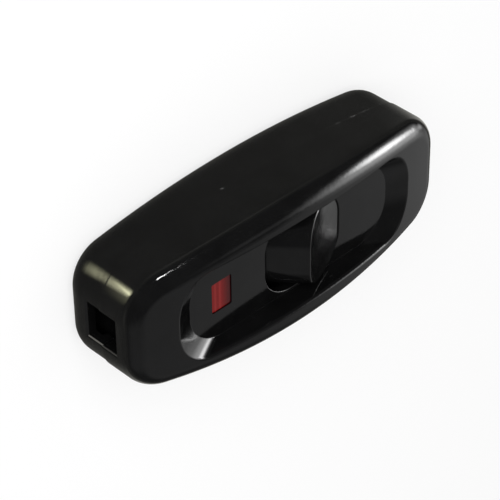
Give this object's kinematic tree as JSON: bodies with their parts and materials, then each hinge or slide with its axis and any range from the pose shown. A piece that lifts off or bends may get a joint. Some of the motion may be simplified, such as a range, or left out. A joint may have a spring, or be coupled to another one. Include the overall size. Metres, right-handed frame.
{
  "type": "inline cord switch",
  "caption": "Black inline cord switch: split bowed housing with a rocker in a long front recess, a red pilot lens beside it and a square cord inlet in each end.",
  "frame": {"origin": "centre of the flat rear face", "axes": "+X along the cord, from the lens end to the other end; +Z out of the rear face towards the rocker; +Y across the housing"},
  "size_m": [0.084, 0.0324, 0.0247],
  "materials": {
    "black_shell": "polished moulded black plastic",
    "black_rocker": "polished moulded black plastic",
    "red_lens": "clear red moulded plastic",
    "white_nylon": "natural nylon",
    "spring_steel": "drawn spring wire",
    "copper_strip": "rolled phosphor bronze",
    "contact_silver": "silver contact face",
    "brass": "bright brass",
    "zinc_screw": "zinc plated steel",
    "lamp_glass": "clear glass",
    "electrode_nickel": "nickel",
    "resistor_body": "lacquered ceramic",
    "tinned_wire": "tinned copper wire",
    "black_clamp": "moulded black plastic"
  },
  "bodies": {
    "housing": {"front_shell": "black_shell", "rear_shell": "black_shell", "fixed_contact": "contact_silver", "line_strip": "brass", "line_pillar": "brass", "load_strip": "brass", "load_pillar": "brass", "neutral_block": "brass", "terminal_screws": "zinc_screw", "pilot_lens": "red_lens", "neon_lamp": "lamp_glass", "neon_electrodes": "electrode_nickel", "series_resistor": "resistor_body", "neutral_lead": "tinned_wire", "link_lead": "tinned_wire", "load_lead": "tinned_wire", "cord_clamp_left": "black_clamp", "cord_clamp_right": "black_clamp", "clamp_screws": "zinc_screw", "housing_screws": "zinc_screw"},
    "rocker": {"rocker": "black_rocker", "plunger_spring": "spring_steel"},
    "plunger": {"plunger": "white_nylon"},
    "contact_arm": {"contact_arm": "copper_strip", "moving_contact": "contact_silver"}
  },
  "joints": [
    {"name": "rocker_tilt", "type": "hinge", "parent": "housing", "child": "rocker", "pos_m": [0.0033, 0, 0.0131], "axis": [0, -1, 0], "range_deg": [0, 42.4]},
    {"name": "contact_tilt", "type": "hinge", "parent": "housing", "child": "contact_arm", "pos_m": [0.0033, 0, 0.0048], "axis": [0, 1, 0], "range_deg": [0, 12]},
    {"name": "plunger_slide", "type": "slide", "parent": "rocker", "child": "plunger", "axis": [0.3616, 0, 0.9323], "range_m": [0, 0.001], "stiffness_N_per_m": 300, "springref_m": -0.002, "deforming": ["plunger_spring"]}
  ],
  "couplings": [
    {"joint": "contact_tilt", "follows": "rocker_tilt", "ratio": 0.283}
  ]
}
